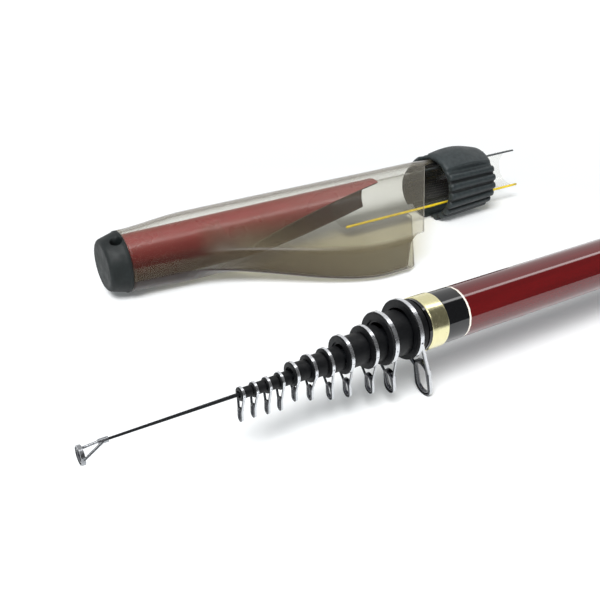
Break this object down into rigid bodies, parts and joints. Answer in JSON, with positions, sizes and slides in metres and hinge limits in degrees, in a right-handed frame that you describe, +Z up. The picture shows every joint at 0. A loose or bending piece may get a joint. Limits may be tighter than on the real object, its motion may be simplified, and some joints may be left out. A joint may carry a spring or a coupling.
{
  "type": "telescopic fishing rod",
  "caption": "Closed telescopic fishing rod with sliding line guides, reel seat, screwed butt cap, and a translucent tip cover with a rubber strap lying beside it",
  "frame": {"origin": "Middle of the straight rear grip, on the rod's axis", "axes": "+X runs along the rod from the tip to the butt, +Z is up with the guides hanging to -Z, +Y points to the side where the cover lies"},
  "size_m": [1.1177, 0.1766, 0.0477],
  "materials": {
    "lacquer": "burgundy gloss lacquer over the carbon tube, black band at the mouth",
    "gold": "polished pale gold ring",
    "carbon": "black carbon tube",
    "steel": "polished stamped steel",
    "ceramic": "dark grey polished ceramic",
    "collar": "black moulded collar",
    "seat": "black moulded reel seat",
    "nut": "pale gold anodised nut",
    "grip": "matt black grip",
    "cap": "black anodised cap",
    "seal": "black rubber",
    "shell": "translucent smoke moulding",
    "nose": "matt black rubber",
    "sleeve": "dark red lining sleeve",
    "film": "clear film",
    "film_edge": "yellow edging",
    "pad": "black pad",
    "strap": "matt black rubber"
  },
  "bodies": {
    "butt": {"butt_tube": "lacquer", "gold_ring": "gold", "reel_seat_body": "seat", "reel_seat_rear_hood": "seat", "rear_grip": "grip"},
    "fourth": {"fourth_section": "carbon", "guide_10_collar": "collar", "guide_10_frame": "steel", "guide_10_ring": "ceramic"},
    "third": {"third_section": "carbon", "guide_8_collar": "collar", "guide_8_frame": "steel", "guide_8_ring": "ceramic"},
    "second": {"second_section": "carbon", "guide_5_collar": "collar", "guide_5_frame": "steel", "guide_5_ring": "ceramic"},
    "tip": {"tip_section": "carbon", "tip_top_frame": "steel", "tip_top_ring": "ceramic"},
    "guide_11": {"guide_11_collar": "collar", "guide_11_frame": "steel", "guide_11_ring": "ceramic"},
    "guide_9": {"guide_9_collar": "collar", "guide_9_frame": "steel", "guide_9_ring": "ceramic"},
    "guide_6": {"guide_6_collar": "collar", "guide_6_frame": "steel", "guide_6_ring": "ceramic"},
    "guide_7": {"guide_7_collar": "collar", "guide_7_frame": "steel", "guide_7_ring": "ceramic"},
    "guide_1": {"guide_1_collar": "collar", "guide_1_frame": "steel", "guide_1_ring": "ceramic"},
    "guide_2": {"guide_2_collar": "collar", "guide_2_frame": "steel", "guide_2_ring": "ceramic"},
    "guide_3": {"guide_3_collar": "collar", "guide_3_frame": "steel", "guide_3_ring": "ceramic"},
    "guide_4": {"guide_4_collar": "collar", "guide_4_frame": "steel", "guide_4_ring": "ceramic"},
    "front_hood": {"reel_seat_front_hood": "seat"},
    "lock_nut": {"reel_seat_lock_nut": "nut"},
    "butt_cap": {"butt_cap": "cap", "butt_cap_o_ring": "seal", "butt_cap_cushion": "seal"},
    "cover": {"cover_shell": "shell", "cover_nose_cap": "nose", "cover_inner_sleeve": "sleeve", "cover_film": "film", "cover_film_edge": "film_edge", "cover_pad": "pad", "cover_strap_base": "strap"},
    "strap": {"cover_strap": "strap"}
  },
  "joints": [
    {"name": "fourth_slide", "type": "slide", "parent": "butt", "child": "fourth", "axis": [-1, 0, 0.0009], "range_m": [0, 0.9031]},
    {"name": "guide_11_slide", "type": "slide", "parent": "butt", "child": "guide_11", "axis": [-1, 0, 0], "range_m": [0, 0.45155]},
    {"name": "third_slide", "type": "slide", "parent": "fourth", "child": "third", "axis": [-1, 0, 0.0014], "range_m": [0, 0.9182]},
    {"name": "guide_9_slide", "type": "slide", "parent": "fourth", "child": "guide_9", "axis": [-1, 0, 0.0029], "range_m": [0, 0.4591]},
    {"name": "second_slide", "type": "slide", "parent": "third", "child": "second", "axis": [-1, 0, 0.0012], "range_m": [0, 0.9342]},
    {"name": "guide_6_slide", "type": "slide", "parent": "third", "child": "guide_6", "axis": [-1, 0, 0.0017], "range_m": [0, 0.6228]},
    {"name": "guide_7_slide", "type": "slide", "parent": "third", "child": "guide_7", "axis": [-1, 0, 0.0035], "range_m": [0, 0.3114]},
    {"name": "guide_1_slide", "type": "slide", "parent": "second", "child": "guide_1", "axis": [-1, 0, 0.0014], "range_m": [0, 0.72696]},
    {"name": "guide_2_slide", "type": "slide", "parent": "second", "child": "guide_2", "axis": [-1, 0, 0.0018], "range_m": [0, 0.54522]},
    {"name": "guide_3_slide", "type": "slide", "parent": "second", "child": "guide_3", "axis": [-1, 0, 0.0027], "range_m": [0, 0.36348]},
    {"name": "guide_4_slide", "type": "slide", "parent": "second", "child": "guide_4", "axis": [-1, 0, 0.0055], "range_m": [0, 0.18174]},
    {"name": "tip_slide", "type": "slide", "parent": "guide_1", "child": "tip", "axis": [-1, 0, 0], "range_m": [-0.0425, 0.18174]},
    {"name": "front_hood_slide", "type": "slide", "parent": "butt", "child": "front_hood", "axis": [1, 0, 0], "range_m": [0, 0.012]},
    {"name": "lock_nut_turn", "type": "hinge", "parent": "front_hood", "child": "lock_nut", "pos_m": [-0.2246, 0, 0], "axis": [1, 0, 0], "range_deg": [0, 1080]},
    {"name": "butt_cap_slide", "type": "slide", "parent": "butt", "child": "butt_cap", "axis": [1, 0, 0], "range_m": [0, 0.03]},
    {"name": "cover_slide", "type": "slide", "parent": "butt", "child": "cover", "axis": [0.9999, 0, 0.0158], "range_m": [-0.15, 0.05]},
    {"name": "strap_open", "type": "hinge", "parent": "cover", "child": "strap", "pos_m": [-0.71535, 0.14575, 0.00387], "axis": [-0.9987, 0.046, 0.0217], "range_deg": [0, 95]}
  ],
  "couplings": [
    {"joint": "guide_11_slide", "follows": "fourth_slide", "ratio": 0.5},
    {"joint": "guide_9_slide", "follows": "third_slide", "ratio": 0.5},
    {"joint": "guide_6_slide", "follows": "second_slide", "ratio": 0.66667},
    {"joint": "guide_7_slide", "follows": "second_slide", "ratio": 0.33333},
    {"joint": "guide_2_slide", "follows": "guide_1_slide", "ratio": 0.75},
    {"joint": "guide_3_slide", "follows": "guide_1_slide", "ratio": 0.5},
    {"joint": "guide_4_slide", "follows": "guide_1_slide", "ratio": 0.25},
    {"joint": "lock_nut_turn", "follows": "front_hood_slide", "rad_per_m": 1570.8}
  ]
}
